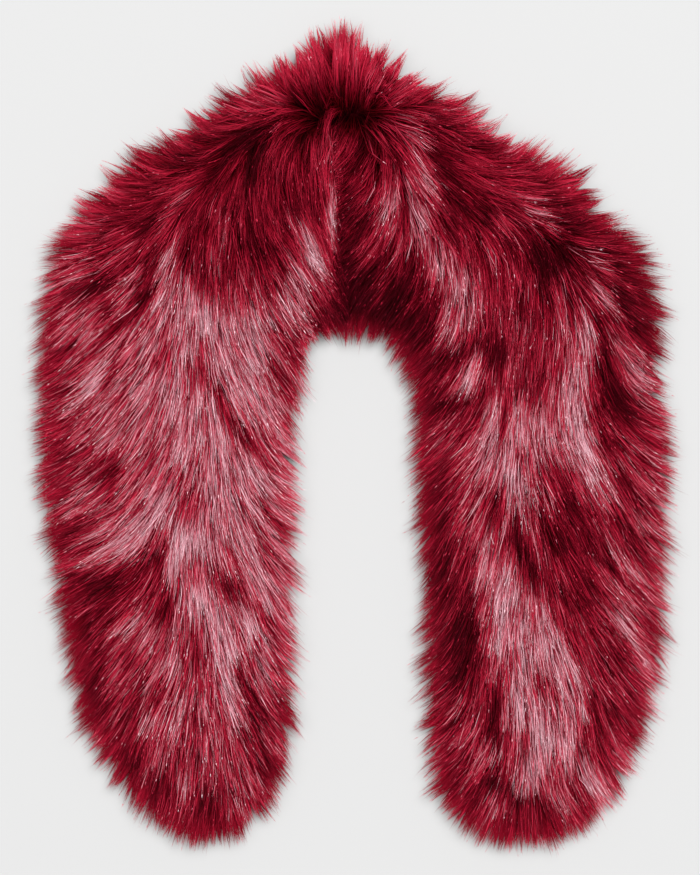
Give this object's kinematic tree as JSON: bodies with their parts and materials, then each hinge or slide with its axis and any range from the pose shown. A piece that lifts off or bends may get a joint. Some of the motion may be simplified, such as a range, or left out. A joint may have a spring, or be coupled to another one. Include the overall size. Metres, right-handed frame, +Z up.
{
  "type": "fur collar wrap",
  "caption": "Long-pile faux-fur collar wrap laid flat as an upside-down U, with a centre-back seam, a roll fold behind the neck and two rounded hanging ends.",
  "frame": {"origin": "middle of the wrap's plan at the surface it lies on", "axes": "+X across the wrap towards its right-hand end as seen from above, +Y from the rounded ends to the back of the neck, +Z up from the surface it lies on"},
  "size_m": [0.3844, 0.4896, 0.0641],
  "materials": {
    "left_fur": "burgundy long-pile faux fur with silvery-pink tips",
    "right_fur": "burgundy long-pile faux fur with silvery-pink tips"
  },
  "bodies": {
    "root": {"left_fur_panel": "left_fur", "right_fur_panel": "right_fur"}
  },
  "joints": []
}
